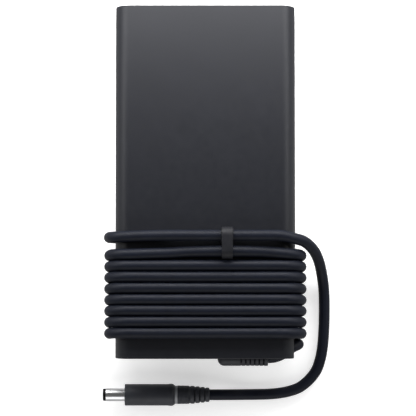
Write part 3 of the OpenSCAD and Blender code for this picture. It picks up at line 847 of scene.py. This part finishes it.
def add_boot():
    """The flexible boot: a finely grooved sleeve, then four rounded ribs with slots between them."""
    profile = [(RING_X1, BOOT_BORE_R), (RING_X1, BOOT_R - 0.15), (RING_X1 + 0.15, BOOT_R)]
    for k in range(8):
        x = RING_X1 + 0.75 + 0.78 * k
        r = BOOT_R - 0.015 * k
        profile += [(x - 0.18, r), (x, r - 0.2), (x + 0.18, r)]
    for start, end, top in BOOT_RIBS:
        for k in range(9):
            a = math.pi * k / 8
            x = (start + end) / 2 - (end - start - 0.3) / 2 * math.cos(a)
            profile.append((x, top - 0.55 + 0.55 * math.sin(a) ** 0.5))
    profile += [(BOOT_X1, 3.5), (BOOT_X1, 0.5), (BOOT_X1 - 1.5, 0.5), (BOOT_X1 - 1.5, BOOT_BORE_R)]
    boot = lathe_x("cord_boot", profile, PLUG_Y, PLUG_Z, FLAT, 64, True)
    for x in BOOT_SLOTS:
        for side in (-1, 1):
            low, high = sorted((PLUG_Z + side * 3, PLUG_Z + side * 8))
            slot = box_piece("slot", (x - 0.5, PLUG_Y - 3.2, low), (x + 0.5, PLUG_Y + 3.2, high))
            combine(boot, slot, "DIFFERENCE")
    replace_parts(soften(boot, 35), "plug_boot")
    return dress(boot, "grip_rubber")


def add_barrel():
    """The metal sleeve, with a fine groove near each end, and the plastic ring on its tip."""
    low = BARREL_R - 0.08
    sleeve = [(BARREL_X0, BARREL_BORE_R), (BARREL_X0, low), (BARREL_X0 + 0.08, BARREL_R)]
    for x in (BARREL_X0 + 1.7, GRIP_X0 - 1.2):
        sleeve += [(x - 0.1, BARREL_R), (x - 0.06, low), (x + 0.06, low), (x + 0.1, BARREL_R)]
    sleeve += [(GRIP_X0, BARREL_R), (GRIP_X0, SEAT_R), (SEAT_X1, SEAT_R), (SEAT_X1, BARREL_BORE_R)]
    barrel = turned("metal_barrel", sleeve, "barrel_sleeve", "barrel_metal")
    tip = [(BARREL_X0, TIP_BORE_R), (TIP_X0 + 0.3, TIP_BORE_R), (TIP_X0, TIP_BORE_R + 0.25)]
    tip += [(TIP_X0, SEAT_R - 0.35), (TIP_X0 + 0.12, SEAT_R - 0.12), (TIP_X0 + 0.4, SEAT_R)]
    tip.append((BARREL_X0, SEAT_R))
    return [barrel, turned("barrel_end", tip, "barrel_tip", "barrel_plastic")]


def add_contacts():
    """The spring sleeve inside the barrel and the thin pin in its middle."""
    bore = CONTACT_BORE_R
    sleeve = [(BARREL_X0, CONTACT_R), (BARREL_X0, bore + 0.1), (BARREL_X0 + 0.4, bore), (-50.5, bore)]
    sleeve += [(-50, bore + 0.06), (-48, bore + 0.06), (-47.5, bore), (SEAT_X1, bore), (SEAT_X1, CONTACT_R)]
    inner = turned("spring_sleeve", sleeve, "contact_sleeve", "contact_metal")
    pin = [(TIP_X0 + 3, 0.1), (TIP_X0 + 3.1, 0.2), (TIP_X0 + 3.4, PIN_R), (SEAT_X1 + 2, PIN_R)]
    return [inner, turned("middle_pin", pin, "centre_pin", "blade_metal", closed=False, sides=20)]


relief = add_strain_relief()
tie = [add_tie_ring(), add_tie_strap()]
plug = [add_grip(), add_light_ring(), add_boot(), *add_barrel(), *add_contacts()]
plug += [frame["nodes"][n] for n in ("plug_leads", "light_board", "barrel_insulator", "contact_carrier")]

# ---- Plain materials on the CAD nodes that keep their shape ----


def dress_cad_nodes():
    """Gives every CAD node the finish that the record names for it."""
    slots = {s["node"]: s["material_slot"] for s in frame["record"]["subparts"]}
    for name, node in frame["nodes"].items():
        node.data.materials.clear()
        node.data.materials.append(MATERIALS[slots[name]])


dress_cad_nodes()

# ---- Floor, light and world ----

# How bright the sky is above and below the horizon, and how wide the change is
SKY_ABOVE = 0.1
SKY_BELOW = 0.6
HORIZON = 0.05


def add_floor():
    """A white ground that glows a little. Reflections don't show it, but the sky's lower half instead."""
    corners = [(x, y, 0) for x, y in rectangle(6.0, 6.0)]
    mesh = bpy.data.meshes.new("floor")
    mesh.from_pydata(corners, [], [(0, 1, 2, 3)])
    floor = link("floor", mesh)
    plain = surface("floor", (0.75, 0.75, 0.75), 0.7, specular=0.1, mottle=0.01, grain=0.05)
    glow = plain.node_tree.nodes["Principled BSDF"].inputs
    glow["Emission Color"].default_value = (1, 1, 1, 1)
    glow["Emission Strength"].default_value = 0.5
    floor.data.materials.append(plain)
    floor.visible_glossy = False


def softbox(name, place, aim, width, height, watts):
    """A rectangular light at one place, aimed at another."""
    data = bpy.data.lights.new(name, "AREA")
    data.shape = "RECTANGLE"
    data.size = width
    data.size_y = height
    data.energy = watts
    lamp = bpy.data.objects.new(name, data)
    lamp.location = place
    lamp.rotation_euler = (Vector(aim) - Vector(place)).to_track_quat("-Z", "Y").to_euler()
    bpy.context.scene.collection.objects.link(lamp)


def add_light():
    """A near light behind the inlet end, one in front and low ones at the sides."""
    softbox("key", (0, 0.24, 0.16), (0, 0.05, 0.02), 0.6, 0.2, 3.8)
    softbox("front", (0, -0.75, 0.4), (0, -0.1, 0), 1.4, 0.6, 5.2)
    softbox("left", (-0.75, 0.42, 0.3), (0, 0.42, 0), 0.8, 0.44, 5.2)
    softbox("right", (0.75, 0.42, 0.3), (0, 0.42, 0), 0.8, 0.44, 5.2)


def add_sky():
    """A white sky that is dim above the horizon and brighter below it."""
    world = bpy.data.worlds.new("studio")
    world.use_nodes = True
    nodes, links = world.node_tree.nodes, world.node_tree.links
    sky = nodes["Background"].inputs
    sky["Color"].default_value = (1, 1, 1, 1)
    direction = nodes.new("ShaderNodeSeparateXYZ")
    links.new(nodes.new("ShaderNodeTexCoord").outputs["Generated"], direction.inputs["Vector"])
    strength = nodes.new("ShaderNodeMapRange")
    strength.inputs["From Min"].default_value = -HORIZON
    strength.inputs["From Max"].default_value = HORIZON
    strength.inputs["To Min"].default_value = SKY_BELOW
    strength.inputs["To Max"].default_value = SKY_ABOVE
    links.new(direction.outputs["Z"], strength.inputs["Value"])
    links.new(strength.outputs["Result"], sky["Strength"])
    bpy.context.scene.world = world


add_floor()
add_light()
add_sky()
bpy.context.scene.view_settings.view_transform = "Standard"
